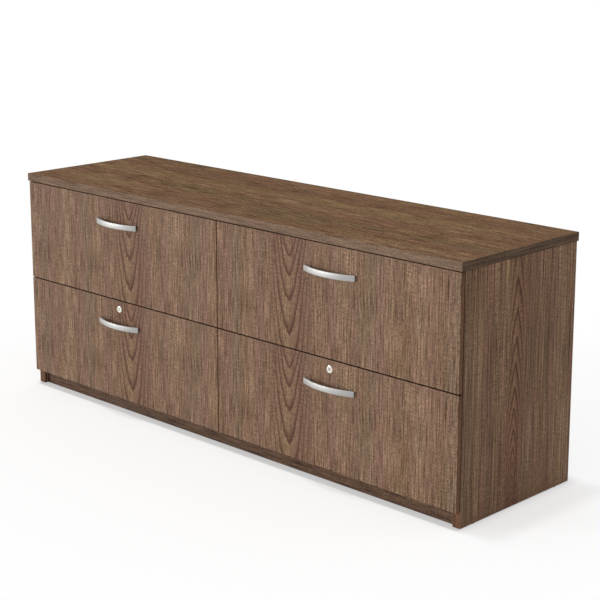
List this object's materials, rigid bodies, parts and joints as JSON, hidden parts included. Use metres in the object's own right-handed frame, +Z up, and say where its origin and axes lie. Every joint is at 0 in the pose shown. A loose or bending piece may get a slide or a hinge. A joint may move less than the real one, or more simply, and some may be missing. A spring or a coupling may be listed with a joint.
{
  "type": "lateral file credenza",
  "caption": "Low wide file credenza in walnut-grain laminate: overlay drawers on telescopic slides, bowed strap pulls, cam locks, hanging-file rails and a recessed toe kick.",
  "frame": {"origin": "middle of the floor area under the whole object, handles included", "axes": "+X along the width to the viewer's right when facing the drawers, -Y out of the drawer fronts, +Z up"},
  "size_m": [1.829, 0.5326, 0.724],
  "materials": {
    "walnut_laminate": "satin wood-grain laminate",
    "carcass_board": "matte faced board",
    "box_board": "matte faced board",
    "rail_aluminium": "satin anodised",
    "brushed_nickel": "brushed nickel",
    "zinc_steel": "bright zinc plate",
    "bearing_plastic": "acetal",
    "lock_chrome": "bright plate",
    "glide_plastic": "dark polyethylene"
  },
  "bodies": {
    "carcass": {"top_panel": "walnut_laminate", "left_end_panel": "walnut_laminate", "right_end_panel": "walnut_laminate", "toe_kick": "walnut_laminate", "centre_divider": "carcass_board", "back_panel": "carcass_board", "left_bottom_panel": "carcass_board", "right_bottom_panel": "carcass_board", "left_lock_rail": "carcass_board", "right_lock_rail": "carcass_board", "top_stretchers": "carcass_board", "floor_glides": "glide_plastic", "upper_left_cabinet_slides": "zinc_steel", "upper_right_cabinet_slides": "zinc_steel", "lower_left_cabinet_slides": "zinc_steel", "lower_right_cabinet_slides": "zinc_steel"},
    "upper_left_drawer": {"upper_left_front": "walnut_laminate", "upper_left_box_sides": "box_board", "upper_left_box_ends": "box_board", "upper_left_box_bottom": "box_board", "upper_left_file_rails": "rail_aluminium", "upper_left_handle": "brushed_nickel", "upper_left_drawer_slides": "zinc_steel"},
    "upper_left_middle": {"upper_left_middle_slides": "zinc_steel", "upper_left_slide_bearings": "bearing_plastic"},
    "upper_right_drawer": {"upper_right_front": "walnut_laminate", "upper_right_box_sides": "box_board", "upper_right_box_ends": "box_board", "upper_right_box_bottom": "box_board", "upper_right_file_rails": "rail_aluminium", "upper_right_handle": "brushed_nickel", "upper_right_drawer_slides": "zinc_steel"},
    "upper_right_middle": {"upper_right_middle_slides": "zinc_steel", "upper_right_slide_bearings": "bearing_plastic"},
    "lower_left_drawer": {"lower_left_front": "walnut_laminate", "lower_left_box_sides": "box_board", "lower_left_box_ends": "box_board", "lower_left_box_bottom": "box_board", "lower_left_file_rails": "rail_aluminium", "lower_left_handle": "brushed_nickel", "lower_left_drawer_slides": "zinc_steel", "left_lock_body": "lock_chrome", "left_lock_nut": "zinc_steel"},
    "lower_left_middle": {"lower_left_middle_slides": "zinc_steel", "lower_left_slide_bearings": "bearing_plastic"},
    "lower_right_drawer": {"lower_right_front": "walnut_laminate", "lower_right_box_sides": "box_board", "lower_right_box_ends": "box_board", "lower_right_box_bottom": "box_board", "lower_right_file_rails": "rail_aluminium", "lower_right_handle": "brushed_nickel", "lower_right_drawer_slides": "zinc_steel", "right_lock_body": "lock_chrome", "right_lock_nut": "zinc_steel"},
    "lower_right_middle": {"lower_right_middle_slides": "zinc_steel", "lower_right_slide_bearings": "bearing_plastic"},
    "left_lock": {"left_lock_plug": "lock_chrome", "left_lock_cam": "zinc_steel"},
    "right_lock": {"right_lock_plug": "lock_chrome", "right_lock_cam": "zinc_steel"}
  },
  "joints": [
    {"name": "upper_left_open", "type": "slide", "parent": "carcass", "child": "upper_left_drawer", "axis": [0, -1, 0], "range_m": [0, 0.44]},
    {"name": "upper_right_open", "type": "slide", "parent": "carcass", "child": "upper_right_drawer", "axis": [0, -1, 0], "range_m": [0, 0.44]},
    {"name": "lower_left_open", "type": "slide", "parent": "carcass", "child": "lower_left_drawer", "axis": [0, -1, 0], "range_m": [0, 0.44]},
    {"name": "lower_right_open", "type": "slide", "parent": "carcass", "child": "lower_right_drawer", "axis": [0, -1, 0], "range_m": [0, 0.44]},
    {"name": "upper_left_middle_run", "type": "slide", "parent": "carcass", "child": "upper_left_middle", "axis": [0, -1, 0], "range_m": [0, 0.22]},
    {"name": "upper_right_middle_run", "type": "slide", "parent": "carcass", "child": "upper_right_middle", "axis": [0, -1, 0], "range_m": [0, 0.22]},
    {"name": "lower_left_middle_run", "type": "slide", "parent": "carcass", "child": "lower_left_middle", "axis": [0, -1, 0], "range_m": [0, 0.22]},
    {"name": "lower_right_middle_run", "type": "slide", "parent": "carcass", "child": "lower_right_middle", "axis": [0, -1, 0], "range_m": [0, 0.22]},
    {"name": "left_lock_turn", "type": "hinge", "parent": "lower_left_drawer", "child": "left_lock", "pos_m": [-0.456, -0.23925, 0.344], "axis": [0, -1, 0], "range_deg": [0, 90]},
    {"name": "right_lock_turn", "type": "hinge", "parent": "lower_right_drawer", "child": "right_lock", "pos_m": [0.456, -0.23925, 0.344], "axis": [0, -1, 0], "range_deg": [0, 90]}
  ],
  "couplings": [
    {"joint": "upper_left_middle_run", "follows": "upper_left_open", "ratio": 0.5},
    {"joint": "upper_right_middle_run", "follows": "upper_right_open", "ratio": 0.5},
    {"joint": "lower_left_middle_run", "follows": "lower_left_open", "ratio": 0.5},
    {"joint": "lower_right_middle_run", "follows": "lower_right_open", "ratio": 0.5}
  ]
}
